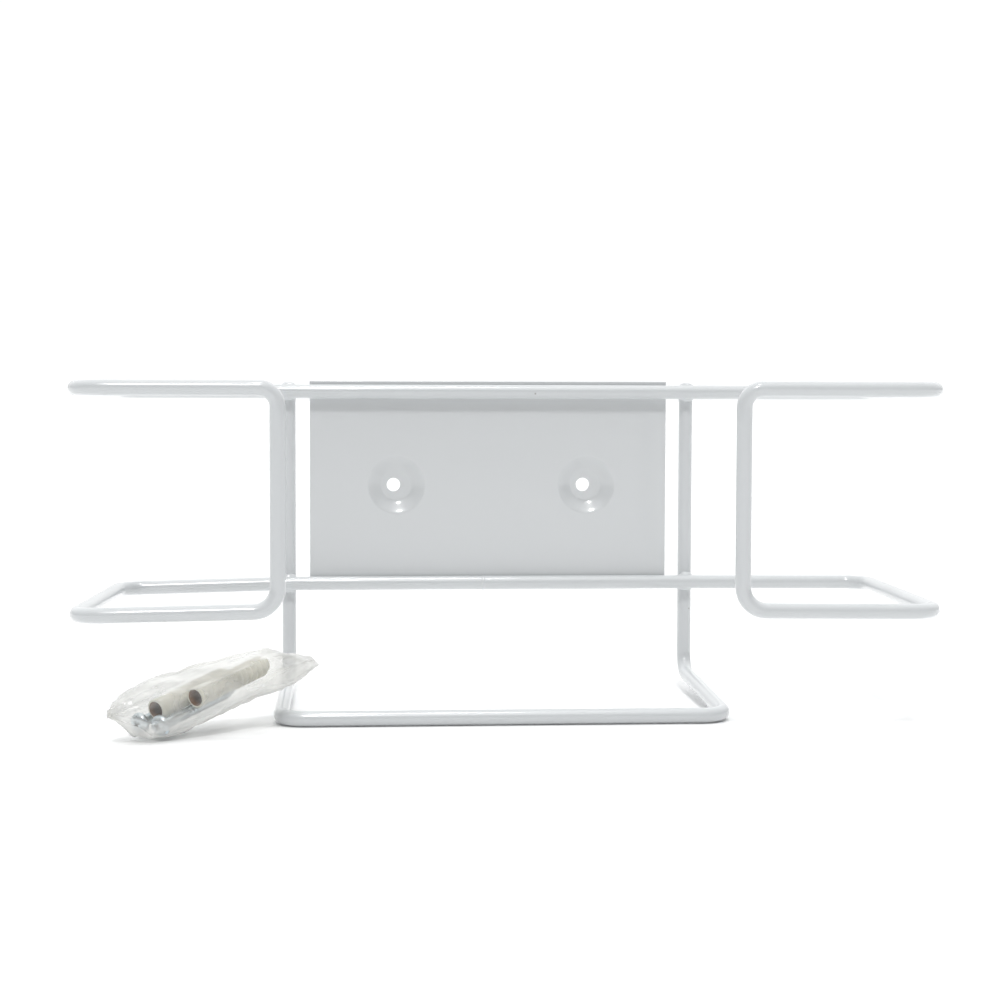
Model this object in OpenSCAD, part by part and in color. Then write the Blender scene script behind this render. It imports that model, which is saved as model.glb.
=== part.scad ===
// Wall bracket of coated wire: an open-fronted basket ring, a cradle under it and
// a dimpled screw plate, with its bag of wall plugs and screws.
// Millimetres. X is the width, +Y points at the wall, +Z is up. The origin is
// on the wall, midway between the two screw holes.

/* [Wire] */
// Diameter of the wire with its coating
wire_d = 5.8; // [4:0.1:7]
// Depth that two crossing wires are pressed together by resistance welding
weld_sink = 0.3; // [0.1:0.05:0.6]

/* [Basket] */
// Width of the basket between wire centres
basket_w = 314; // [240:1:400]
// Depth of the basket between wire centres
basket_depth = 120; // [80:1:160]
// Height between the top and the bottom bars
basket_h = 81; // [60:1:110]
// Height of the top bars above the holes' centre line
top_above = 40; // [39:0.5:42]
// Distance between the two front arms
arm_gap = 170; // [120:1:200]
// Centre radius of the four bends at each level
corner_r = 10; // [6:0.5:16]
// Centre radius of the bend at the top of an arm
arm_top_r = 6.5; // [5:0.5:10]
// Centre radius of the bend at the foot of an arm
arm_foot_r = 9; // [6:0.5:12]

/* [Cradle] */
// Distance between the two uprights
cradle_w = 167.5; // [150:0.5:190]
// Distance from the uprights to the front bar
cradle_depth = 93; // [60:1:110]
// Height of the front bar's centre below the bottom bars
cradle_below = 43; // [30:1:60]
// How far the front bar lies below the rear bends
cradle_drop = 4.5; // [0:0.5:8]
// Height of the uprights above the top bar's centre
upright_above = 3; // [1:0.5:5]
// Centre radius of the cradle's bends
cradle_r = 9; // [6:0.5:12]

/* [Screw plate] */
// Width of the plate
plate_w = 150; // [120:1:158]
// Height of the plate above the holes' centre line
plate_above = 43.5; // [42:0.5:46]
// Height of the plate below the holes' centre line
plate_below = 42; // [40:0.5:45]
// Thickness of the plate
plate_t = 1.2; // [1:0.1:2]
// Distance between the screw holes
hole_gap = 80; // [60:1:100]
// Diameter of a screw hole
hole_d = 6; // [4:0.1:7]
// Outer diameter of the dimple round a hole
dimple_d = 24; // [18:0.5:28]
// Diameter of the dimple's flat floor
dimple_floor_d = 13; // [9:0.5:15]

/* [Fixing kit] */
// Length of a screw under its head
screw_l = 42; // [34:1:44]
// Diameter of a screw's shank
screw_d = 4.2; // [3.5:0.1:4.5]
// Diameter of a screw's head
screw_head_d = 8; // [7:0.1:8.2]
// Length of a wall plug
plug_l = 40; // [34:1:42]
// Outer diameter of a wall plug
plug_d = 8; // [6:0.1:10]
// Bore of a wall plug
plug_bore_d = 5.4; // [4:0.1:6]
// Thickness of the bag's film in this model
film_t = 0.6; // [0.4:0.1:1]

/* [Hidden] */
$fn = 48;
coat = "white";
half_w = basket_w / 2;
half_arm = arm_gap / 2;
half_cradle = cradle_w / 2;
upright_y = -wire_d / 2;
back_y = upright_y - wire_d + weld_sink;
front_y = back_y - basket_depth;
top_z = top_above;
bottom_z = top_above - basket_h;
cradle_front_z = bottom_z - cradle_below;
cradle_rear_z = cradle_front_z + cradle_drop;
run_slope = atan2(cradle_drop, cradle_depth);
run_l = sqrt(pow(cradle_depth, 2) + pow(cradle_drop, 2));
plate_front_y = back_y + wire_d / 2;
plate_back_y = plate_front_y + plate_t;
table_z = cradle_front_z - wire_d / 2;
butt_x = -2.5;
butt_gap = 0.8;
butt_d = wire_d - 0.5;
rear_turn = 90 - run_slope;
run_dir = [0, -cos(run_slope), -sin(run_slope)];
base_up = [0, -sin(run_slope), cos(run_slope)];
bend_steps = 8;
wire_sides = 24;
nugget_d = wire_d * 1.25;
nugget_t = wire_d * 0.4;
nugget_bite = 0.1;
plate_weld_d = wire_d * 0.7;
plate_weld_t = wire_d * 0.16;
plate_weld_x = plate_w * 0.4;
dimple_depth = -plate_back_y;
tip_h = wire_d * 0.2;
tip_d = wire_d * 0.7;

// Where the kit's mouth end lies, its turn from +X, its rise and its lift off the table
kit_x = -125;
kit_y = -122;
kit_turn = 51;
kit_rise = 12;
kit_lift = 1.6;
kit_reach = 100;
plug_front_at = [0, 4.4, 9.2];
plug_rear_at = [12, -4.4, 10.6];
screw_front_at = [-2, 0.2, 4.6];
screw_rear_at = [-3, 9.4, 5];
drive_l = screw_head_d * 0.5;
drive_w = screw_head_d * 0.12;
// Spheres that the bag's inside spans: x, y, z and radius
bag_points = [[-18, 7, 13.5, 1.5], [-4, 9.4, 5.8, 5.4], [-3.4, -0.6, 5.4, 5.4], [2, 4, 9.6, 4.8], [12, -5.5, 10.4, 5.2],
    [44, 7.6, 7.2, 5.6], [52, -5, 10.2, 5.4], [68, 4, 8, 1.5], [70, -12, 5, 1.5]];
bag_edge_z = 6;

// A straight wire of length l from the origin along +X.
module wire_x(l, d = wire_d) { rotate([0, 90, 0]) cylinder(d = d, h = l); }

// A bend in the XY plane about the origin, from angle 0, of centre radius r.
module bend(r, turn = 90) { rotate_extrude(angle = turn) translate([r, 0]) circle(d = wire_d); }

// One level of the basket's right half: half back bar, side and front bar.
// The front bar stops where the arm's bend of radius arm_r begins.
module level_half(arm_r, back_start) {
    translate([back_start, back_y, 0]) wire_x(half_w - corner_r - back_start);
    translate([half_w - corner_r, back_y - corner_r, 0]) bend(corner_r);
    translate([half_w, front_y + corner_r, 0]) rotate([-90, 0, 0])
        cylinder(d = wire_d, h = basket_depth - 2 * corner_r);
    translate([half_w - corner_r, front_y + corner_r, 0]) rotate(-90) bend(corner_r);
    translate([half_arm + arm_r, front_y, 0]) wire_x(half_w - corner_r - half_arm - arm_r);
}

// An arm of the right half, with the bends that join it to the two front bars.
module arm_half() {
    translate([half_arm, front_y, bottom_z + arm_foot_r])
        cylinder(d = wire_d, h = basket_h - arm_top_r - arm_foot_r);
    translate([half_arm + arm_top_r, front_y, top_z - arm_top_r])
        rotate([90, 0, 0]) rotate(90) bend(arm_top_r);
    translate([half_arm + arm_foot_r, front_y, bottom_z + arm_foot_r])
        rotate([90, 0, 0]) rotate(180) bend(arm_foot_r);
}

module basket_half(bottom_start) {
    translate([0, 0, top_z]) level_half(arm_top_r, 0);
    translate([0, 0, bottom_z]) level_half(arm_foot_r, bottom_start);
    arm_half();
}

// One closed ring of wire, open at its butt weld in the bottom back bar.
module basket_wire() {
    color(coat) {
        basket_half(butt_x + butt_gap / 2);
        mirror([1, 0, 0]) basket_half(-butt_x + butt_gap / 2);
    }
}

module basket_butt_weld() {
    color(coat) translate([butt_x - butt_gap / 2, back_y, bottom_z]) wire_x(butt_gap, butt_d);
}

// Places and directions of a wire's centre line round an arc: from centre + r * u, turning towards v.
function arc(centre, u, v, turn) = [for (i = [0:bend_steps]) let (a = turn * i / bend_steps)
    [centre + cradle_r * (cos(a) * u + sin(a) * v), cos(a) * v - sin(a) * u]];

// Rings round a wire's centre line. side is the direction across the wire, or 0 for wire in the base's plane.
function rings(stations, side, r = wire_d / 2) = [for (s = stations)
    let (a = side == 0 ? cross(base_up, s[1]) : [side, 0, 0], b = cross(s[1], a))
    [for (k = [0:wire_sides - 1]) s[0] + r * (cos(360 * k / wire_sides) * a + sin(360 * k / wire_sides) * b)]];

// A solid through a list of rings, closed at both ends.
module swept(list) {
    n = len(list);
    m = wire_sides;
    polyhedron([for (ring = list) each ring], concat(
        [[for (k = [0:m - 1]) k]],
        [for (i = [0:n - 2], k = [0:m - 1]) let (next = (k + 1) % m)
            [i * m + k, (i + 1) * m + k, (i + 1) * m + next, i * m + next]],
        [[for (k = [m - 1:-1:0]) (n - 1) * m + k]]));
}

// One bent wire: right upright, run, front bar, left run and left upright.
module cradle_wire() {
    tangent = cradle_r * tan(rear_turn / 2);
    right = [half_cradle, upright_y, cradle_rear_z];
    left = [-half_cradle, upright_y, cradle_rear_z];
    across = [cradle_r, 0, 0];
    back = -cradle_r * run_dir;
    rear_centre = [0, -cradle_r, tangent];
    tip_z = top_z + upright_above - cradle_rear_z;
    run_end = (cos(rear_turn) * [0, 1, 0] - sin(rear_turn) * [0, 0, 1]);
    color(coat) swept(concat(
        rings([[right + [0, 0, tip_z], [0, 0, -1]]], 1, tip_d / 2),
        rings([[right + [0, 0, tip_z - tip_h], [0, 0, -1]]], 1),
        rings(arc(right + rear_centre, [0, 1, 0], [0, 0, -1], rear_turn), 1),
        rings(arc(right + run_l * run_dir - across + back, [1, 0, 0], run_dir, 90), 0),
        rings(arc(left + run_l * run_dir + across + back, run_dir, [-1, 0, 0], 90), 0),
        rings(arc(left + rear_centre, run_end, -run_dir, rear_turn), -1),
        rings([[left + [0, 0, tip_z - tip_h], [0, 0, 1]]], -1),
        rings([[left + [0, 0, tip_z], [0, 0, 1]]], -1, tip_d / 2)));
}

// The coated weld nuggets that fill the corners where an upright crosses a back bar.
module cross_welds() {
    color(coat) for (side = [-1, 1], z = [top_z, bottom_z])
        translate([side * half_cradle, back_y + (wire_d - weld_sink) / 2, z]) difference() {
            rotate([90, 0, 0]) cylinder(d = nugget_d, h = nugget_t, center = true);
            translate([-nugget_d, -(wire_d - weld_sink) / 2, 0]) wire_x(2 * nugget_d, wire_d - nugget_bite);
            translate([0, (wire_d - weld_sink) / 2, -nugget_d]) cylinder(d = wire_d - nugget_bite, h = 2 * nugget_d);
        }
}

// A flat sheet with a dimple pressed back to the wall round each screw hole.
module back_plate() {
    outer = dimple_d / 2;
    floor_r = dimple_floor_d / 2;
    hole = hole_d / 2;
    color(coat) {
        translate([0, plate_back_y, 0]) rotate([90, 0, 0]) linear_extrude(plate_t) difference() {
            translate([-plate_w / 2, -plate_below]) square([plate_w, plate_above + plate_below]);
            for (side = [-1, 1]) translate([side * hole_gap / 2, 0]) circle(r = outer);
        }
        for (side = [-1, 1]) translate([side * hole_gap / 2, plate_front_y, 0]) rotate([-90, 0, 0])
            rotate_extrude() polygon([[outer, 0], [outer, plate_t], [floor_r, dimple_depth + plate_t],
                [hole, dimple_depth + plate_t], [hole, dimple_depth], [floor_r, dimple_depth]]);
    }
}

// The small welds that hold the plate against the two back bars.
module plate_welds() {
    color(coat) for (x = [-plate_weld_x, 0, plate_weld_x], z = [top_z, bottom_z])
        translate([x, plate_front_y, z]) difference() {
            rotate([90, 0, 0]) cylinder(d = plate_weld_d, h = plate_weld_t);
            translate([-plate_weld_d, -wire_d / 2, 0]) wire_x(2 * plate_weld_d, wire_d - nugget_bite);
        }
}

// The fixing kit lies on the table in front of the left run. Its own +X runs along the plugs.
module in_kit() {
    translate([kit_x, kit_y, table_z + kit_lift]) rotate([0, -kit_rise, kit_turn]) children();
}

// A nylon wall plug along +X: collar, sleeve and a ribbed far end.
module wall_plug() {
    rotate([0, 90, 0]) difference() {
        union() {
            cylinder(d = plug_d, h = plug_l * 0.55);
            translate([0, 0, plug_l * 0.55]) cylinder(d = plug_d - 1, h = plug_l * 0.45);
            for (rib = [0:4]) translate([0, 0, plug_l * (0.6 + rib * 0.08)])
                cylinder(d1 = plug_d, d2 = plug_d - 1, h = plug_l * 0.06);
        }
        translate([0, 0, -1]) cylinder(d = plug_bore_d, h = plug_l * 0.9);
    }
}

module wall_plug_front() {
    color("oldlace") in_kit() translate(plug_front_at) wall_plug();
}

module wall_plug_rear() {
    color("oldlace") in_kit() translate(plug_rear_at) wall_plug();
}

// A pan-head screw along +X, its head's flat underside at the origin.
module screw() {
    head_h = screw_head_d * 0.35;
    rotate([0, 90, 0]) difference() {
        union() {
            translate([0, 0, -head_h]) cylinder(d1 = screw_head_d * 0.75, d2 = screw_head_d, h = head_h * 0.4);
            translate([0, 0, -head_h * 0.6]) cylinder(d = screw_head_d, h = head_h * 0.6);
            cylinder(d = screw_d, h = screw_l * 0.85);
            translate([0, 0, screw_l * 0.85]) cylinder(d1 = screw_d, d2 = screw_d * 0.1, h = screw_l * 0.15);
        }
        for (turn = [0, 90]) rotate(turn) translate([-drive_l / 2, -drive_w / 2, -head_h * 1.5])
            cube([drive_l, drive_w, head_h * 1.2]);
    }
}

module screw_front() {
    color("silver") in_kit() translate(screw_front_at) screw();
}

module screw_rear() {
    color("silver") in_kit() translate(screw_rear_at) screw();
}

// The closed outline of the bag, grown by a margin.
module bag_body(grow) {
    hull() for (p = bag_points) translate([p[0], p[1], p[2]]) sphere(r = p[3] + grow, $fn = 16);
}

// The part of the bag's film above or below its welded edge.
module bag_half(low_z) {
    in_kit() intersection() {
        difference() {
            bag_body(film_t);
            bag_body(0);
        }
        translate([-kit_reach, -kit_reach, low_z]) cube([3 * kit_reach, 2 * kit_reach, kit_reach]);
    }
}

module bag_top_film() { color("gainsboro") bag_half(bag_edge_z); }

module bag_base_film() { color("gainsboro") bag_half(bag_edge_z - kit_reach); }

basket_wire();
basket_butt_weld();
cradle_wire();
cross_welds();
back_plate();
plate_welds();
wall_plug_front();
wall_plug_rear();
screw_front();
screw_rear();
bag_top_film();
bag_base_film();
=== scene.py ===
"""A white coated-wire wall bracket with its bag of plugs and screws, on a pale table."""

import math

import bmesh
import bpy
from mathutils import Matrix, Vector, noise


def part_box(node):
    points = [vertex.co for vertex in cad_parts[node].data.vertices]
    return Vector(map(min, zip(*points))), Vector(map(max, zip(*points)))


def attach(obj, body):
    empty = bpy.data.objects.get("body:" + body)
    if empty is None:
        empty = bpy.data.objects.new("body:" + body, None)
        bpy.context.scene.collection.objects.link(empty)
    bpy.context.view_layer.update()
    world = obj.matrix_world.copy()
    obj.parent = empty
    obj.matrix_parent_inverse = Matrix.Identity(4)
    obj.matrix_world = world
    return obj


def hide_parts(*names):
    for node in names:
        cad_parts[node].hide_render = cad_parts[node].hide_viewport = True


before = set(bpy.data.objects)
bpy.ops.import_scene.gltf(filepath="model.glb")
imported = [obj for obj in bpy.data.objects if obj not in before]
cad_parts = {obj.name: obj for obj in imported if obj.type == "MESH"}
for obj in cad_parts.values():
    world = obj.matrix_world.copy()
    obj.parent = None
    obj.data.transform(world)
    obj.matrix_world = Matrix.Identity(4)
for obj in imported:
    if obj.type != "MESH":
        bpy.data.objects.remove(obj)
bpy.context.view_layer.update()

# Sizes in metres. Outer places come from the frame's boxes; these are what the boxes don't say.
WIRE_R = 0.0029
CORNER_R = 0.010
ARM_TOP_R = 0.0065
ARM_FOOT_R = 0.009
CRADLE_R = 0.009
ARM_HALF = 0.085
CRADLE_DROP = 0.0045
# How the real wires stray from the level drawing: the top level's back and front, the shift of the ring's
# back corners to one side, the spread of its front corners, the arms' feet, the droop of the bottom back
# corners beyond a slight bend at the uprights, and the cradle's splay
TOP_BACK_SAG = -0.0009
TOP_FRONT_LIFT = 0.0010
RING_SHIFT = 0.0036
FRONT_SPREAD = 0.0010
RIGHT_FOOT_LIFT = 0.0007
LEFT_FOOT_LIFT = 0.0014
RIGHT_CORNER_DROOP = 0.0004
LEFT_CORNER_DROOP = 0.0018
KINK_R = 0.080
CRADLE_SPLAY = 0.0014
PLATE_T = 0.0012
HOLE_HALF = 0.040
HOLE_R = 0.0028
DIMPLE_R = 0.012
DIMPLE_FLOOR_R = 0.0066
# The dimples are pressed a share of the CAD's depth and sit a little to one side of the holes
DIMPLE_SHARE = 0.7
DIMPLE_STRAY = 0.0012
PLATE_EDGE = 0.0003
# Radii of the extra rings of faces on a dimple's floor and just outside its rim
FLOOR_RADII = [0.0033, 0.0045, 0.0057, 0.0062]
RIM_RADII = [0.0124, 0.0130]
# Half side of the square of faces round a hole, and the faces along it
SQUARE = 0.015
SQUARE_STEPS = 16
CROSS_WELD_SIZE = (0.0040, 0.0024, 0.0040)
PLATE_WELD_SIZE = (0.0036, 0.0009, 0.0019)
PLATE_WELD_XS = (-0.06, 0, 0.06)
PLATE_WELD_SINK = 0.0003
BUTT_X = -0.0025
BUTT_RINGS = 13
BUTT_STEP = 0.00022
WIRE_SIDES = 32
BEND_STEPS = 14
STATION_STEP = 0.006
DOME_STEPS = 8

basket_lo, basket_hi = (Vector(c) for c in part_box("basket_wire"))
cradle_lo, cradle_hi = (Vector(c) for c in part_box("cradle_wire"))
plate_lo, plate_hi = (Vector(c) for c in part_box("back_plate"))

half_w = basket_hi.x - WIRE_R
back_y = basket_hi.y - WIRE_R
front_y = basket_lo.y + WIRE_R
top_z = basket_hi.z - WIRE_R
bottom_z = basket_lo.z + WIRE_R
cradle_half = cradle_hi.x - WIRE_R
cradle_back_y = cradle_hi.y - WIRE_R
cradle_front_y = cradle_lo.y + WIRE_R
cradle_front_z = cradle_lo.z + WIRE_R
cradle_rear_z = cradle_front_z + CRADLE_DROP
table_z = cradle_lo.z
back_bar_levels = (top_z + TOP_BACK_SAG, bottom_z)


# ---------------------------------------------------------------- materials

# Sockets of the mix node, for colours
MIX_FACTOR, MIX_A, MIX_B, MIX_RESULT = 0, 6, 7, 2


def new_material(name):
    """A node material with its Principled shader and a helper to add nodes."""
    material = bpy.data.materials.new(name)
    material.use_nodes = True
    tree = material.node_tree
    shader = tree.nodes["Principled BSDF"]

    def add(kind, **settings):
        node = tree.nodes.new(kind)
        for key, value in settings.items():
            if hasattr(node, key):
                setattr(node, key, value)
            else:
                node.inputs[key.replace("_", " ")].default_value = value
        return node

    return material, tree, shader, add


def noise_of(tree, add, scale, detail=3.0, rough=0.5):
    """Noise over the piece's own coordinates."""
    place = add("ShaderNodeTexCoord")
    texture = add("ShaderNodeTexNoise", Scale=scale, Detail=detail, Roughness=rough)
    tree.links.new(place.outputs["Object"], texture.inputs["Vector"])
    return texture


def ramp_of(tree, add, source, low, high, a, b):
    """A colour from a to b as source goes from low to high."""
    spread = add("ShaderNodeMapRange")
    spread.inputs["From Min"].default_value = low
    spread.inputs["From Max"].default_value = high
    tree.links.new(source, spread.inputs["Value"])
    mix = add("ShaderNodeMix", data_type="RGBA")
    tree.links.new(spread.outputs["Result"], mix.inputs[MIX_FACTOR])
    mix.inputs[MIX_A].default_value = (*a, 1)
    mix.inputs[MIX_B].default_value = (*b, 1)
    return mix.outputs[MIX_RESULT]


def range_of(tree, add, source, low, high):
    """source, which runs 0 to 1, mapped to low to high."""
    node = add("ShaderNodeMapRange")
    node.inputs["To Min"].default_value = low
    node.inputs["To Max"].default_value = high
    tree.links.new(source, node.inputs["Value"])
    return node.outputs["Result"]


def bump_of(tree, add, layers):
    """Bumps in a chain: each layer is (height source, strength, distance)."""
    normal = None
    for source, strength, distance in layers:
        bump = add("ShaderNodeBump", Strength=strength, Distance=distance)
        tree.links.new(source, bump.inputs["Height"])
        if normal is not None:
            tree.links.new(normal, bump.inputs["Normal"])
        normal = bump.outputs["Normal"]
    return normal


def coat_material(name, base, speck=0.985, peel=0.10):
    """Gloss white powder coat: slight tone drift, orange peel, a few pin specks."""
    material, tree, shader, add = new_material(name)
    drift = noise_of(tree, add, 14.0, 1.0)
    tone = ramp_of(tree, add, drift.outputs["Fac"], 0.1, 0.9, [c * 0.985 for c in base], base)
    grit = add("ShaderNodeTexVoronoi", Scale=210.0)
    place = add("ShaderNodeTexCoord")
    tree.links.new(place.outputs["Object"], grit.inputs["Vector"])
    chance = add("ShaderNodeSeparateColor")
    tree.links.new(grit.outputs["Color"], chance.inputs["Color"])
    rare = add("ShaderNodeMath", operation="GREATER_THAN")
    rare.inputs[1].default_value = speck
    tree.links.new(chance.outputs["Red"], rare.inputs[0])
    near = add("ShaderNodeMath", operation="LESS_THAN")
    near.inputs[1].default_value = 0.085
    tree.links.new(grit.outputs["Distance"], near.inputs[0])
    spot = add("ShaderNodeMath", operation="MULTIPLY")
    tree.links.new(rare.outputs[0], spot.inputs[0])
    tree.links.new(near.outputs[0], spot.inputs[1])
    mix = add("ShaderNodeMix", data_type="RGBA")
    tree.links.new(spot.outputs[0], mix.inputs["Factor"])
    tree.links.new(tone, mix.inputs["A"])
    mix.inputs["B"].default_value = (0.36, 0.36, 0.34, 1)
    tree.links.new(mix.outputs["Result"], shader.inputs["Base Color"])
    fine = noise_of(tree, add, 420.0, 2.0)
    shader.inputs["Roughness"].default_value = 0.29
    shader.inputs["Coat Weight"].default_value = 0.75
    shader.inputs["Coat Roughness"].default_value = 0.07
    wave = noise_of(tree, add, 90.0, 1.0)
    layers = [(wave.outputs["Fac"], peel, 0.0004), (fine.outputs["Fac"], peel * 0.6, 0.0001)]
    tree.links.new(bump_of(tree, add, layers), shader.inputs["Normal"])
    return material


def nylon_material():
    """Cream moulded nylon, a little translucent."""
    material, tree, shader, add = new_material("nylon")
    cloud = noise_of(tree, add, 160.0, 3.0)
    tone = ramp_of(tree, add, cloud.outputs["Fac"], 0.3, 0.7, (0.69, 0.67, 0.585), (0.79, 0.775, 0.70))
    tree.links.new(tone, shader.inputs["Base Color"])
    tree.links.new(range_of(tree, add, cloud.outputs["Fac"], 0.35, 0.55), shader.inputs["Roughness"])
    shader.inputs["Subsurface Weight"].default_value = 0.12
    shader.inputs["Subsurface Radius"].default_value = (0.002, 0.0016, 0.001)
    fine = noise_of(tree, add, 900.0, 2.0)
    tree.links.new(bump_of(tree, add, [(fine.outputs["Fac"], 0.15, 0.0001)]), shader.inputs["Normal"])
    return material


def bore_material():
    """A plug's bore: dark brown, partly the nylon's own colour and partly painted shade for the deep hole.
    """
    material, tree, shader, add = new_material("bore_nylon_and_shade")
    cloud = noise_of(tree, add, 220.0, 3.0)
    tone = ramp_of(tree, add, cloud.outputs["Fac"], 0.3, 0.7, (0.10, 0.040, 0.010), (0.21, 0.095, 0.032))
    tree.links.new(tone, shader.inputs["Base Color"])
    tree.links.new(range_of(tree, add, cloud.outputs["Fac"], 0.5, 0.7), shader.inputs["Roughness"])
    return material


def zinc_material():
    """Bright zinc plate, a little blue, with a fine rolled grain."""
    material, tree, shader, add = new_material("zinc_plate")
    cloud = noise_of(tree, add, 350.0, 4.0, 0.6)
    tone = ramp_of(tree, add, cloud.outputs["Fac"], 0.35, 0.65, (0.50, 0.58, 0.64), (0.78, 0.84, 0.88))
    tree.links.new(tone, shader.inputs["Base Color"])
    shader.inputs["Metallic"].default_value = 1.0
    tree.links.new(range_of(tree, add, cloud.outputs["Fac"], 0.18, 0.42), shader.inputs["Roughness"])
    tree.links.new(bump_of(tree, add, [(cloud.outputs["Fac"], 0.2, 0.0001)]), shader.inputs["Normal"])
    return material


def film_material():
    """Cloudy polythene film: greyish and milky in patches, more so at a slant, with creased gloss."""
    material, tree, shader, add = new_material("bag_film")
    crease = noise_of(tree, add, 110.0, 2.0, 0.5)
    shader.inputs["Base Color"].default_value = (0.80, 0.795, 0.775, 1)
    tree.links.new(range_of(tree, add, crease.outputs["Fac"], 0.08, 0.22), shader.inputs["Roughness"])
    shader.inputs["Specular IOR Level"].default_value = 0.8
    fine = noise_of(tree, add, 420.0, 2.0)
    normal = bump_of(tree, add, [(crease.outputs["Fac"], 0.45, 0.0010), (fine.outputs["Fac"], 0.08, 0.0003)])
    tree.links.new(normal, shader.inputs["Normal"])
    slant = add("ShaderNodeLayerWeight", Blend=0.35)
    tree.links.new(normal, slant.inputs["Normal"])
    milk = noise_of(tree, add, 60.0, 2.0)
    veil = add("ShaderNodeAttribute", attribute_name="veil")
    thick = add("ShaderNodeMath", operation="MULTIPLY")
    tree.links.new(range_of(tree, add, milk.outputs["Fac"], 0.3, 1.7), thick.inputs[0])
    tree.links.new(veil.outputs["Fac"], thick.inputs[1])
    cover = add("ShaderNodeMath", operation="MULTIPLY", use_clamp=True)
    tree.links.new(range_of(tree, add, slant.outputs["Facing"], 0.24, 0.80), cover.inputs[0])
    tree.links.new(thick.outputs[0], cover.inputs[1])
    clear = add("ShaderNodeBsdfTransparent")
    clear.inputs["Color"].default_value = (0.95, 0.95, 0.94, 1)
    mix = add("ShaderNodeMixShader")
    tree.links.new(cover.outputs[0], mix.inputs["Fac"])
    tree.links.new(clear.outputs[0], mix.inputs[1])
    tree.links.new(shader.outputs[0], mix.inputs[2])
    tree.links.new(mix.outputs[0], tree.nodes["Material Output"].inputs["Surface"])
    return material


def floor_material():
    """A plain, very pale table."""
    material, tree, shader, add = new_material("pale_floor")
    cloud = noise_of(tree, add, 3.0, 2.0)
    tone = ramp_of(tree, add, cloud.outputs["Fac"], 0.3, 0.7, (0.96, 0.96, 0.96), (0.98, 0.98, 0.98))
    tree.links.new(tone, shader.inputs["Base Color"])
    shader.inputs["Roughness"].default_value = 0.6
    return material


WHITE = (0.645, 0.661, 0.670)
# The wires and welds wear the sheet's same powder coat. Their base is a little darker as painted shade, for
# wires standing out towards the dim side by the camera.
WIRE_WHITE_SHADED = (0.622, 0.640, 0.651)
coat_wire_shaded = coat_material("coat_on_wire_shaded", WIRE_WHITE_SHADED)
coat_sheet = coat_material("coat_on_sheet", WHITE, speck=0.975, peel=0.14)
coat_weld_shaded = coat_material("coat_on_weld_shaded", WIRE_WHITE_SHADED, peel=0.2)
nylon = nylon_material()
bore_nylon_and_shade = bore_material()
zinc = zinc_material()
film = film_material()


# ---------------------------------------------------------------- mesh tools

def add_piece(name, mesh_maker, body, slot, nodes, *materials):
    """A mesh object from a bmesh function, riding on a body and standing for CAD nodes."""
    mesh = bpy.data.meshes.new(name)
    work = bmesh.new()
    mesh_maker(work)
    bmesh.ops.remove_doubles(work, verts=work.verts, dist=1e-7)
    bmesh.ops.recalc_face_normals(work, faces=work.faces)
    for face in work.faces:
        face.smooth = True
    work.to_mesh(mesh)
    work.free()
    piece = bpy.data.objects.new(name, mesh)
    bpy.context.scene.collection.objects.link(piece)
    for material in materials:
        mesh.materials.append(material)
    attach(piece, body)
    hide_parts(*nodes)
    return piece


def rounded_path(corners, closed):
    """Points along straight runs joined by arcs; corners is a list of (point, bend radius)."""
    points = []
    count = len(corners)
    for i, (corner, radius) in enumerate(corners):
        if not closed and i in (0, count - 1):
            points.append(corner.copy())
            continue
        before = (corners[i - 1][0] - corner).normalized()
        after = (corners[(i + 1) % count][0] - corner).normalized()
        half = before.angle(after) / 2
        centre = corner + (before + after).normalized() * radius / math.sin(half)
        start = corner + before * radius / math.tan(half) - centre
        end = corner + after * radius / math.tan(half) - centre
        sweep = start.angle(end)
        for k in range(BEND_STEPS + 1):
            t = k / BEND_STEPS
            spoke = start * math.sin((1 - t) * sweep) + end * math.sin(t * sweep)
            points.append(centre + spoke / math.sin(sweep))
    return points


def with_stations(points, closed):
    """The path with extra points, so that long straights have some too."""
    out = []
    count = len(points)
    for i in range(count if closed else count - 1):
        a, b = points[i], points[(i + 1) % count]
        pieces = max(1, round((b - a).length / STATION_STEP))
        out += [a.lerp(b, k / pieces) for k in range(pieces)]
    if not closed:
        out.append(points[-1].copy())
    return out


def sweep_wire(work, points, closed, radius_at):
    """A round tube along points. radius_at gives the radius from a point's number and place."""
    count = len(points)
    rings = []
    side = None
    for i, point in enumerate(points):
        before = points[i - 1] if (closed or i > 0) else point
        after = points[(i + 1) % count] if (closed or i < count - 1) else point
        along = (after - before).normalized()
        if side is None:
            side = along.orthogonal().normalized()
        side = (side - along * side.dot(along)).normalized()
        up = along.cross(side)
        radius = radius_at(i, point)
        ring = []
        for k in range(WIRE_SIDES):
            angle = 2 * math.pi * k / WIRE_SIDES
            ring.append(work.verts.new(point + (side * math.cos(angle) + up * math.sin(angle)) * radius))
        rings.append(ring)
    links = count if closed else count - 1
    for i in range(links):
        a, b = rings[i], rings[(i + 1) % count]
        shift = 0
        if closed and i == count - 1:
            shift = min(range(WIRE_SIDES), key=lambda s: (a[0].co - b[s].co).length)
        for k in range(WIRE_SIDES):
            n = (k + 1) % WIRE_SIDES
            work.faces.new((a[k], a[n], b[(n + shift) % WIRE_SIDES], b[(k + shift) % WIRE_SIDES]))
    if not closed:
        work.faces.new(rings[0])
        work.faces.new(list(reversed(rings[-1])))


def coated(point):
    """The wire's radius at a place, with the coating's slight unevenness."""
    return WIRE_R * (1 + 0.008 * noise.noise(point * 60))


# ---------------------------------------------------------------- bracket

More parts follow.
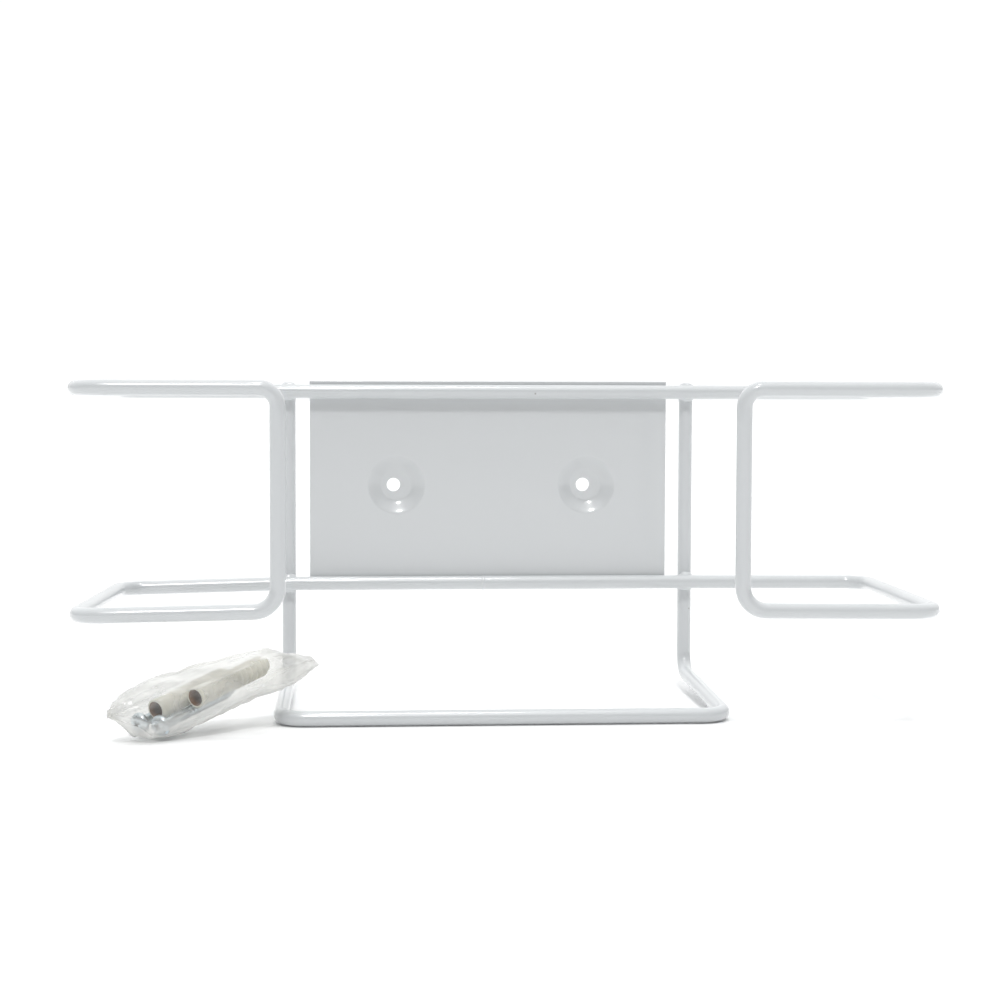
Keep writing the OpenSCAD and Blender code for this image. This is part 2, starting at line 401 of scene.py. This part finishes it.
def basket_path():
    """The closed ring: top level, arms and bottom level, starting in the bottom back bar."""
    top_front, top_back = top_z + TOP_FRONT_LIFT, top_z + TOP_BACK_SAG

    def half_ring(side, foot_lift, corner_droop):
        back_x = side * half_w + RING_SHIFT
        front_x = side * (half_w + FRONT_SPREAD)
        arm_x = side * ARM_HALF
        stops = [(side * cradle_half, back_y, bottom_z, KINK_R),
                 (back_x, back_y, bottom_z - corner_droop, CORNER_R),
                 (front_x, front_y, bottom_z, CORNER_R),
                 (arm_x, front_y, bottom_z + foot_lift, ARM_FOOT_R),
                 (arm_x, front_y, top_front, ARM_TOP_R),
                 (front_x, front_y, top_front, CORNER_R),
                 (back_x, back_y, top_back, CORNER_R)]
        return [(Vector(stop[:3]), stop[3]) for stop in stops]

    right = half_ring(1, RIGHT_FOOT_LIFT, RIGHT_CORNER_DROOP)
    left = half_ring(-1, LEFT_FOOT_LIFT, LEFT_CORNER_DROOP)
    return rounded_path(right + left[::-1], True)


def make_basket(work):
    """The closed ring as one coated wire."""
    sweep_wire(work, with_stations(basket_path(), True), True, lambda i, p: coated(p))


def cradle_corners():
    """The cradle's corners: right upright, run, front bar, left run and left upright."""
    along = Vector((CRADLE_SPLAY, cradle_front_y - cradle_back_y, -CRADLE_DROP))
    rear = Vector((cradle_half, cradle_back_y, cradle_rear_z))
    tip = Vector((cradle_half, cradle_back_y, cradle_hi.z))
    right = [(tip, 0), (rear, CRADLE_R), (rear + along, CRADLE_R)]
    left = [(Vector((-p.x, p.y, p.z)), r) for p, r in reversed(right)]
    return right + left


def make_cradle(work):
    """The bent wire, with its cut ends rounded by the coating."""
    points = with_stations(rounded_path(cradle_corners(), False), False)
    top = cradle_hi.z
    dome = [k / DOME_STEPS for k in range(DOME_STEPS, 0, -1)]
    dome_h = WIRE_R * 0.8
    start, end = points[0], points[-1]
    head = [Vector((start.x, start.y, top - dome_h * (1 - math.sin(t * math.pi / 2)))) for t in dome]
    tail = [Vector((end.x, end.y, p.z)) for p in reversed(head)]
    body = [p for p in points[1:-1] if p.z < top - WIRE_R]
    path = head + body + tail
    last = len(path) - 1

    def radius_at(i, point):
        near = min(i, last - i)
        if near < len(dome):
            return max(WIRE_R * 0.12, WIRE_R * math.cos(dome[near] * math.pi / 2) ** 0.6)
        return coated(point)

    sweep_wire(work, path, False, radius_at)


def lump(work, centre, size, seed):
    """A rounded blob of weld under its coating."""
    made = bmesh.ops.create_uvsphere(work, u_segments=28, v_segments=18, radius=1)
    for vert in made["verts"]:
        swell = 1 + 0.10 * noise.noise(vert.co * 1.7 + Vector((seed * 9.1, 0, 0)))
        vert.co = Vector(centre) + Vector([c * s * swell for c, s in zip(vert.co, size)])


def make_cross_welds(work):
    """Soft fillets where the uprights cross the back bars."""
    seed = 1
    for side in (-1, 1):
        for z in back_bar_levels:
            y = (back_y + cradle_back_y) / 2
            lump(work, (side * cradle_half, y, z), CROSS_WELD_SIZE, seed)
            seed += 1


def make_plate_welds(work):
    """Small fillets between the back bars and the plate."""
    seed = 20
    for x in PLATE_WELD_XS:
        for z in back_bar_levels:
            lump(work, (x, back_y + WIRE_R - PLATE_WELD_SINK, z), PLATE_WELD_SIZE, seed)
            seed += 1


def make_butt_weld(work):
    """The ground-back ridge where the ring's ends meet."""
    middle = BUTT_RINGS // 2
    points = [Vector((BUTT_X + (k - middle) * BUTT_STEP, back_y, bottom_z)) for k in range(BUTT_RINGS)]

    def radius_at(i, point):
        ridge = 0.05 * math.exp(-((i - middle) / 2.6) ** 2)
        return WIRE_R * (1.0 + ridge - 0.012 * abs(i - middle) / middle)

    sweep_wire(work, points, False, radius_at)


def dimple_depth_at(distance, depth):
    """How far the sheet is pressed back at a distance from a hole's centre."""
    if distance <= DIMPLE_FLOOR_R:
        return depth
    if distance >= DIMPLE_R:
        return 0.0
    t = (distance - DIMPLE_FLOOR_R) / (DIMPLE_R - DIMPLE_FLOOR_R)
    ease = t * t * (3 - 2 * t)
    return depth * (1 - 0.65 * t - 0.35 * ease)


def ticks(a, b, count):
    """Evenly spaced values from a to b."""
    return [a + (b - a) * k / count for k in range(count + 1)]


def ticks_through(stops, counts):
    """Values through all the stops, with a number of steps between each stop and the next."""
    values = [stops[0]]
    for a, b, count in zip(stops, stops[1:], counts):
        values += ticks(a, b, count)[1:]
    return values


def square_outline(centre):
    """Points round the square of faces about a hole."""
    outline = []
    for side in range(4):
        for k in range(SQUARE_STEPS):
            t = -SQUARE + 2 * SQUARE * k / SQUARE_STEPS
            x, z = ((t, -SQUARE), (SQUARE, t), (-t, SQUARE), (-SQUARE, -t))[side]
            outline.append(Vector((centre + x, plate_lo.y, z)))
    return outline


def make_dimple(work, centre, depth):
    """Rings of faces from a hole's edge, over the dimple, out to the square round it."""
    outline = square_outline(centre)
    rings = []
    for radius in [HOLE_R] + FLOOR_RADII + ticks(DIMPLE_FLOOR_R, DIMPLE_R, 16) + RIM_RADII:
        y = plate_lo.y + dimple_depth_at(radius, depth)
        middle_x = centre + DIMPLE_STRAY * min(1.0, (radius - HOLE_R) / (DIMPLE_FLOOR_R - HOLE_R))
        ring = []
        for corner in outline:
            angle = math.atan2(corner.z, corner.x - centre)
            ring.append(work.verts.new((middle_x + radius * math.cos(angle), y, radius * math.sin(angle))))
        rings.append(ring)
    rings.append([work.verts.new(p) for p in outline])
    for a, b in zip(rings, rings[1:]):
        for k in range(len(a)):
            n = (k + 1) % len(a)
            work.faces.new((a[k], a[n], b[n], b[k]))


def make_plate(work):
    """The sheet's front face: a dimple round each hole and a grid over the rest."""
    depth = (plate_hi.y - plate_lo.y - PLATE_T) * DIMPLE_SHARE
    for centre in (-HOLE_HALF, HOLE_HALF):
        make_dimple(work, centre, depth)
    near, far = HOLE_HALF - SQUARE, HOLE_HALF + SQUARE
    x_stops = [plate_lo.x, -far, -near, near, far, plate_hi.x]
    xs = ticks_through(x_stops, [8, SQUARE_STEPS, 16, SQUARE_STEPS, 8])
    zs = ticks_through([plate_lo.z, -SQUARE, SQUARE, plate_hi.z], [10, SQUARE_STEPS, 10])
    grid = [[work.verts.new((x, plate_lo.y, z)) for z in zs] for x in xs]
    for i in range(len(xs) - 1):
        for j in range(len(zs) - 1):
            mid_x, mid_z = (xs[i] + xs[i + 1]) / 2, (zs[j] + zs[j + 1]) / 2
            if abs(mid_z) < SQUARE and abs(abs(mid_x) - HOLE_HALF) < SQUARE:
                continue
            work.faces.new((grid[i][j], grid[i + 1][j], grid[i + 1][j + 1], grid[i][j + 1]))


def apply_modifiers(piece):
    """Bakes the piece's modifiers into its mesh."""
    graph = bpy.context.evaluated_depsgraph_get()
    made = bpy.data.meshes.new_from_object(piece.evaluated_get(graph))
    piece.modifiers.clear()
    piece.data = made


def build_bracket():
    """The pieces that are welded together."""
    add_piece("basket_ring", make_basket, "bracket", "coated_wire", ["basket_wire"], coat_wire_shaded)
    add_piece("cradle_bent_wire", make_cradle, "bracket", "coated_wire", ["cradle_wire"], coat_wire_shaded)
    add_piece("crossing_welds", make_cross_welds, "bracket", "coated_weld", ["cross_welds"], coat_weld_shaded)
    add_piece("plate_weld_beads", make_plate_welds, "bracket", "coated_weld", ["plate_welds"], coat_weld_shaded)
    add_piece("ring_butt_weld", make_butt_weld, "bracket", "coated_weld", ["basket_butt_weld"], coat_weld_shaded)
    plate = add_piece("pressed_plate", make_plate, "bracket", "coated_sheet", ["back_plate"], coat_sheet)
    bpy.context.view_layer.update()
    thick = plate.modifiers.new("thickness", "SOLIDIFY")
    thick.thickness = PLATE_T
    thick.offset = -1
    thick.use_even_offset = True
    edge = plate.modifiers.new("edge", "BEVEL")
    edge.width = PLATE_EDGE
    edge.segments = 3
    edge.limit_method = "ANGLE"
    edge.angle_limit = math.radians(50)
    apply_modifiers(plate)


build_bracket()

# ---------------------------------------------------------------- fixing kit

# As in the CAD.
KIT_LIFT = 0.0016
KIT_AT = Vector((-0.125, -0.122, table_z + KIT_LIFT))
KIT_TURN = math.radians(51)
KIT_RISE = math.radians(12)
KIT = Matrix.Translation(KIT_AT) @ Matrix.Rotation(KIT_TURN, 4, "Z") @ Matrix.Rotation(-KIT_RISE, 4, "Y")
PLUG_AT = {"front": (0, 0.0044, 0.0092), "rear": (0.012, -0.0044, 0.0106)}
SCREW_AT = {"front": (-0.002, 0.0002, 0.0046), "rear": (-0.003, 0.0094, 0.005)}
PLUG_L = 0.040
PLUG_R = 0.004
BORE_R = 0.0027
MOUTH_R = 0.0032
PLUG_RIBS = 6
SCREW_L = 0.042
SCREW_R = 0.0021
HEAD_R = 0.004
HEAD_H = HEAD_R * 0.7
THREAD_START = SCREW_L * 0.30
THREAD_TURNS = 15
THREAD_STEPS = 16
# Size of one bar of the cross recess
RECESS_DEPTH = 0.0036
RECESS_L = 0.0042
RECESS_W = 0.0009
SPINS = {"front": 0.35, "rear": 1.1}
TURN_SIDES = 40


def to_kit(work, at, spin):
    place = KIT @ Matrix.Translation(Vector(at)) @ Matrix.Rotation(spin, 4, "X")
    bmesh.ops.transform(work, matrix=place, verts=work.verts)


def lathe(work, profile, material_of=lambda number: 0):
    """Turns (x, radius) points about +X into a closed skin. material_of picks a band's material."""
    rings = []
    for x, radius in profile:
        if radius < 1e-6:
            rings.append([work.verts.new((x, 0, 0))])
            continue
        rings.append([work.verts.new((x, radius * math.cos(a), radius * math.sin(a)))
                      for a in (2 * math.pi * k / TURN_SIDES for k in range(TURN_SIDES))])
    for number, (a, b) in enumerate(zip(rings, rings[1:])):
        for k in range(TURN_SIDES):
            n = (k + 1) % TURN_SIDES
            if len(a) == 1 and len(b) == 1:
                continue
            if len(a) == 1:
                face = work.faces.new((a[0], b[n], b[k]))
            elif len(b) == 1:
                face = work.faces.new((a[k], a[n], b[0]))
            else:
                face = work.faces.new((a[k], a[n], b[n], b[k]))
            face.material_index = material_of(number)


def make_plug(at, spin):
    """A ribbed nylon plug: bevelled collar with a flared mouth, smooth sleeve and sawtooth ribs."""
    sleeve_r, groove_r = PLUG_R - 0.0002, PLUG_R - 0.0017
    outer = [(0.0, MOUTH_R), (0.0, PLUG_R - 0.0003), (0.0003, PLUG_R), (0.0022, PLUG_R), (0.0025, sleeve_r)]
    outer += [(PLUG_L * 0.5, sleeve_r), (PLUG_L * 0.52, PLUG_R - 0.0014)]
    for rib in range(PLUG_RIBS):
        x = PLUG_L * (0.54 + rib * 0.07)
        outer += [(x, groove_r), (x + 0.0002, PLUG_R), (x + 0.0011, PLUG_R), (x + 0.0019, groove_r)]
    outer += [(PLUG_L - 0.0008, PLUG_R - 0.0012), (PLUG_L, PLUG_R - 0.0018), (PLUG_L, 0.0)]
    bore = [(PLUG_L * 0.9, 0.0), (PLUG_L * 0.88, BORE_R * 0.5), (PLUG_L * 0.5, BORE_R * 0.8)]
    bore += [(0.0030, BORE_R * 0.97), (0.0022, BORE_R), (0.0, MOUTH_R)]

    def make(work):
        # The bore's bands take the second, darker material: the nylon's colour with painted shade of the
        # deep hole.
        lathe(work, bore + outer, lambda n: 1 if n < len(bore) - 1 else 0)
        to_kit(work, at, spin)

    return make


def screw_profile():
    """The screw's pan head and its core, from the head's top to the point."""
    head = [(1.0, 0.0), (1.0, 0.12), (0.97, 0.45), (0.86, 0.72), (0.62, 0.92), (0.35, 1.0), (0.06, 0.98)]
    profile = [(-HEAD_H * x, HEAD_R * radius) for x, radius in head]
    profile += [(0.0, HEAD_R * 0.93), (0.0, SCREW_R * 1.06), (0.0008, SCREW_R)]
    profile += [(THREAD_START, SCREW_R * 0.98), (THREAD_START + 0.0008, SCREW_R * 0.74)]
    profile += [(SCREW_L * 0.84, SCREW_R * 0.70), (SCREW_L, 0.0)]
    return profile


def cut_thread(work):
    """A thread of triangular section, wound up the core and tapered at its end."""
    pitch = (SCREW_L * 0.97 - THREAD_START) / THREAD_TURNS
    rows = []
    for i in range(THREAD_TURNS * THREAD_STEPS + 1):
        x = THREAD_START + pitch * i / THREAD_STEPS
        angle = 2 * math.pi * i / THREAD_STEPS
        taper = min(1.0, max(0.12, (SCREW_L - x) / (SCREW_L * 0.16)))
        root = SCREW_R * 0.66 * taper
        crest = SCREW_R * (0.74 + 0.26 * min(1, i / THREAD_STEPS)) * taper
        out = Vector((0, math.cos(angle), math.sin(angle)))
        rows.append([work.verts.new(Vector((x + dx, 0, 0)) + out * r)
                     for dx, r in ((-pitch * 0.30, root), (0, crest), (pitch * 0.30, root))])
    for a, b in zip(rows, rows[1:]):
        for k in range(3):
            n = (k + 1) % 3
            work.faces.new((a[k], a[n], b[n], b[k]))
    work.faces.new(rows[0])
    work.faces.new(list(reversed(rows[-1])))


def make_screw(at, spin):
    """A pan-head wood screw with a cut thread and a gimlet point."""

    def make(work):
        lathe(work, screw_profile())
        cut_thread(work)
        to_kit(work, at, spin)

    return make


def cut_recess(piece, at, spin):
    """Cuts the cross recess in a screw's head."""
    mesh = bpy.data.meshes.new("recess")
    work = bmesh.new()
    for turn in (0, math.pi / 2):
        made = bmesh.ops.create_cube(work, size=1)["verts"]
        for vert in made:
            wide = 0.5 if vert.co.x > 0 else 1.0
            vert.co.x = vert.co.x * RECESS_DEPTH - HEAD_H
            vert.co.y *= RECESS_L * wide
            vert.co.z *= RECESS_W * wide
        bmesh.ops.rotate(work, verts=made, matrix=Matrix.Rotation(turn, 3, "X"))
    to_kit(work, at, spin)
    work.to_mesh(mesh)
    work.free()
    cutter = bpy.data.objects.new("recess", mesh)
    bpy.context.scene.collection.objects.link(cutter)
    cut = piece.modifiers.new("recess", "BOOLEAN")
    cut.operation = "DIFFERENCE"
    cut.solver = "EXACT"
    cut.use_self = True
    cut.object = cutter
    bpy.context.view_layer.update()
    apply_modifiers(piece)
    bpy.data.objects.remove(cutter)


def build_fixings():
    """Two plugs and two screws, all in the bag."""
    for which in ("front", "rear"):
        add_piece("plug_" + which, make_plug(PLUG_AT[which], SPINS[which]), "fixing_kit", "nylon",
                  ["wall_plug_" + which], nylon, bore_nylon_and_shade)
        screw = add_piece("wood_screw_" + which, make_screw(SCREW_AT[which], SPINS[which]), "fixing_kit",
                          "zinc_steel", ["screw_" + which], zinc)
        cut_recess(screw, SCREW_AT[which], SPINS[which])


build_fixings()


# ---------------------------------------------------------------- bag

BAG_SIDES = 144
BAG_RINGS = 190
BAG_SECTIONS = [(-19.5, 1.4, 0.4, 8.0, 13.8), (-14, 5.8, 4.6, 6.8, 12.6), (-8, 9.6, 9.0, 5.3, 9.9),
                (0, 10.9, 10.4, 4.4, 9.5), (10, 11.9, 10.2, 2.8, 8.9), (20, 12.2, 9.4, 1.0, 9.2),
                (41, 13.0, 8.0, -1.1, 8.5), (52, 13.2, 7.9, -3.7, 7.8), (60, 12.0, 5.6, -5.4, 7.0),
                (66, 9.4, 3.3, -6.4, 6.5), (72, 6.0, 0.8, -7.6, 5.6)]

BAG_CLOUDS = [((-10, -1, 3.5), (6, 9, 4.5), 1.2), ((26, -12, 1), (22, 6, 5), 0.6),
              ((66, -6, 8), (9, 12, 9), 0.4), ((-7, -1.5, 11), (4.5, 4.5, 4), -0.9),
              ((6, -9.5, 11.5), (5, 4, 4), -0.9), ((40, -11, 11.5), (10, 5, 4), -0.65)]
# How boxy a section is (1 is an ellipse), how deep a crease may go inwards, and the pinched ends' wave
BAG_FLATNESS = 0.82
BAG_DEEPEST = -0.4
BAG_WAVE = 1.3
# The film's lowest point above the table, in metres
BAG_CLEARANCE = 0.0001


def section_at(x):
    """The bag's section at x, in smooth steps between the listed ones."""
    for a, b in zip(BAG_SECTIONS, BAG_SECTIONS[1:]):
        if x <= b[0]:
            t = (x - a[0]) / (b[0] - a[0])
            t = 0.5 * t + 0.5 * t * t * (3 - 2 * t)
            return [p + (q - p) * t for p, q in zip(a[1:], b[1:])]
    return list(BAG_SECTIONS[-1][1:])


def crumple(place, along, around):
    """How far the film stands out at a place: creased facets and long folds, in millimetres."""
    near = noise.voronoi(Vector((place.x * 0.06, place.y * 0.12, place.z * 0.12)))[0]
    facets = (near[1] - near[0]) - 0.35
    fold = 1 - abs(noise.noise(Vector((along * 0.022, around * 2.1, 3.7))))
    fine = noise.noise(Vector((place.x * 0.25, place.y * 0.5, place.z * 0.5)))
    return 1.4 * facets + 1.7 * (fold ** 3 - 0.6) + 0.05 * fine


def cloudiness(place):
    """How milky the film is: doubled over the screw heads, stretched clear over the plugs' mouths."""
    cloud = 1.0
    for centre, reach, change in BAG_CLOUDS:
        away = sum(((p - c) / r) ** 2 for p, c, r in zip(place, centre, reach))
        cloud += change * math.exp(-away)
    return cloud


def bag_point(x, angle, section, pinch):
    """A point of the film at an angle round a section. pinch goes from 0 to 1 at the flat ends."""
    wide, high, mid_y, mid_z = section
    c, s = math.cos(angle), math.sin(angle)
    out_y = math.copysign(abs(c) ** BAG_FLATNESS, c)
    out_z = math.copysign(abs(s) ** BAG_FLATNESS, s)
    place = Vector((x, mid_y + out_y * wide, mid_z + out_z * high))
    swell = max(BAG_DEEPEST, crumple(place, x, angle) * (1 - 0.75 * pinch))
    place += Vector((0, c, s)) * swell * min(1.0, 0.25 + high / 5)
    place.z += BAG_WAVE * pinch * math.sin(out_y * 4.2 + x * 0.3) * (1 if high < 3 else 0.4)
    return place


def make_bag(work):
    """A closed film sleeve, pinched flat at both ends, crumpled all over and resting on the table."""
    first, last = BAG_SECTIONS[0][0], BAG_SECTIONS[-1][0]
    veil = work.verts.layers.float.new("veil")
    rings = []
    for i in range(BAG_RINGS + 1):
        x = first + (last - first) * i / BAG_RINGS
        section = section_at(x)
        pinch = 1 - max(0.0, min(1.0, (x - first) / 9, (last - x) / 12))
        ring = []
        for k in range(BAG_SIDES):
            place = bag_point(x, 2 * math.pi * k / BAG_SIDES, section, pinch)
            world = KIT @ (place * 0.001)
            world.z = max(world.z, table_z + BAG_CLEARANCE)
            vert = work.verts.new(world)
            vert[veil] = cloudiness(place)
            ring.append(vert)
        rings.append(ring)
    for a, b in zip(rings, rings[1:]):
        for k in range(BAG_SIDES):
            n = (k + 1) % BAG_SIDES
            work.faces.new((a[k], a[n], b[n], b[k]))
    work.faces.new(list(reversed(rings[0])))
    work.faces.new(rings[-1])


add_piece("clear_bag", make_bag, "fixing_kit", "bag_film", ["bag_top_film", "bag_base_film"], film)


# ---------------------------------------------------------------- camera, light and table

# The lens's focal length and sensor, the camera's place, and its turn in degrees
FOCAL_IN_WIDTHS = 2.1224
SENSOR_WIDTH = 36.0
CAMERA_AT = (-0.0634, -0.8956, 0.0443)
CAMERA_YAW = 4.38
CAMERA_PITCH = -3.25
CAMERA_ROLL = 0.17

TENT_DIM = 0.10
TENT_BRIGHT = 1.35
TENT_TILT = 60
KEY_STRENGTH = 1.1
TOP_STRENGTH = 0.45
# How bright the tent is where the camera sees it directly
TENT_SEEN = 1.05
TABLE_HALF = 12.0
TABLE_GAP = 0.0002


def place_camera():
    """The camera, turned from its yaw, pitch and roll."""
    camera = bpy.data.cameras.new("camera")
    camera.sensor_width = SENSOR_WIDTH
    camera.lens = SENSOR_WIDTH * FOCAL_IN_WIDTHS
    camera.clip_start = 0.01
    thing = bpy.data.objects.new("camera", camera)
    bpy.context.scene.collection.objects.link(thing)
    yaw, pitch, roll = math.radians(CAMERA_YAW), math.radians(CAMERA_PITCH), math.radians(CAMERA_ROLL)
    ahead = Vector((math.sin(yaw) * math.cos(pitch), math.cos(yaw) * math.cos(pitch), math.sin(pitch)))
    level = Vector((math.cos(yaw), -math.sin(yaw), 0))
    up = level.cross(ahead)
    right = level * math.cos(roll) + up * math.sin(roll)
    up = right.cross(ahead)
    turn = Matrix((right, up, -ahead)).transposed().to_4x4()
    thing.matrix_world = Matrix.Translation(CAMERA_AT) @ turn
    bpy.context.scene.camera = thing


def sun_light(name, elevation, azimuth, softness, strength):
    """A soft sun that shines down and back at an elevation, turned by azimuth from straight ahead."""
    lamp = bpy.data.lights.new(name, "SUN")
    lamp.energy = strength
    lamp.angle = math.radians(softness)
    thing = bpy.data.objects.new(name, lamp)
    bpy.context.scene.collection.objects.link(thing)
    high, swing = math.radians(elevation), math.radians(azimuth)
    ray = Vector((math.sin(swing) * math.cos(high), math.cos(swing) * math.cos(high), -math.sin(high)))
    thing.rotation_euler = ray.to_track_quat("-Z", "Y").to_euler()


def light_tent():
    """A white tent: brightest overhead, bright behind the object and dim on the camera's side."""
    world = bpy.data.worlds.new("tent")
    bpy.context.scene.world = world
    world.use_nodes = True
    tree = world.node_tree
    background = tree.nodes["Background"]
    place = tree.nodes.new("ShaderNodeTexCoord")
    along = tree.nodes.new("ShaderNodeVectorMath")
    along.operation = "DOT_PRODUCT"
    tilt = math.radians(TENT_TILT)
    along.inputs[1].default_value = (0, math.cos(tilt), math.sin(tilt))
    tree.links.new(place.outputs["Generated"], along.inputs[0])
    spread = tree.nodes.new("ShaderNodeMapRange")
    spread.interpolation_type = "SMOOTHSTEP"
    for key, value in zip(("From Min", "From Max", "To Min", "To Max"), (0.0, 0.9, TENT_DIM, TENT_BRIGHT)):
        spread.inputs[key].default_value = value
    tree.links.new(along.outputs["Value"], spread.inputs["Value"])
    rays = tree.nodes.new("ShaderNodeLightPath")
    seen = tree.nodes.new("ShaderNodeMix")
    tree.links.new(rays.outputs["Is Camera Ray"], seen.inputs["Factor"])
    tree.links.new(spread.outputs["Result"], seen.inputs["A"])
    seen.inputs["B"].default_value = TENT_SEEN
    tree.links.new(seen.outputs["Result"], background.inputs["Strength"])
    background.inputs["Color"].default_value = (0.985, 0.995, 1.0, 1)


def build_studio():
    """The tent, two soft lights and the table."""
    scene = bpy.context.scene
    scene.view_settings.view_transform = "Standard"
    light_tent()
    sun_light("key", 52, 6, 9, KEY_STRENGTH)
    sun_light("overhead", 81, -10, 7, TOP_STRENGTH)
    mesh = bpy.data.meshes.new("table")
    work = bmesh.new()
    bmesh.ops.create_grid(work, x_segments=8, y_segments=8, size=TABLE_HALF)
    bmesh.ops.translate(work, verts=work.verts, vec=(0, 0, table_z - TABLE_GAP))
    work.to_mesh(mesh)
    work.free()
    table = bpy.data.objects.new("table", mesh)
    scene.collection.objects.link(table)
    mesh.materials.append(floor_material())


place_camera()
build_studio()
